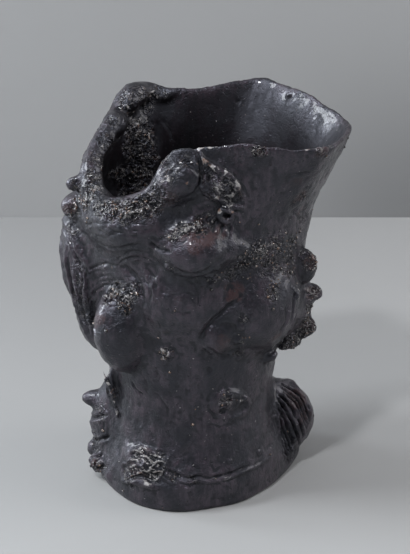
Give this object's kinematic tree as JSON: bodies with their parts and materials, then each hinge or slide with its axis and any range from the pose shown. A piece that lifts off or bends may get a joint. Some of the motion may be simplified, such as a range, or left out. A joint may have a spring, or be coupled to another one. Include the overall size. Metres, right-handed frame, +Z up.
{
  "type": "brush pot",
  "caption": "Root-wood brush pot carved from a gnarled trunk, with a flared and notched mouth, a hollow bore, burls and knobs, and a turned plug closing its foot.",
  "frame": {"origin": "on the resting plane, under the middle of the pot's outline box", "axes": "+Z up, +X to the right of someone facing the notch side, +Y towards the back"},
  "size_m": [0.1264, 0.0974, 0.173],
  "materials": {
    "trunk_body": "near-black lacquered root wood, satin to glossy, worn red-brown on its high spots",
    "base_plug": "dark stained wood, turned, dull satin"
  },
  "bodies": {
    "root": {"trunk_body": "trunk_body", "base_plug": "base_plug"}
  },
  "joints": []
}
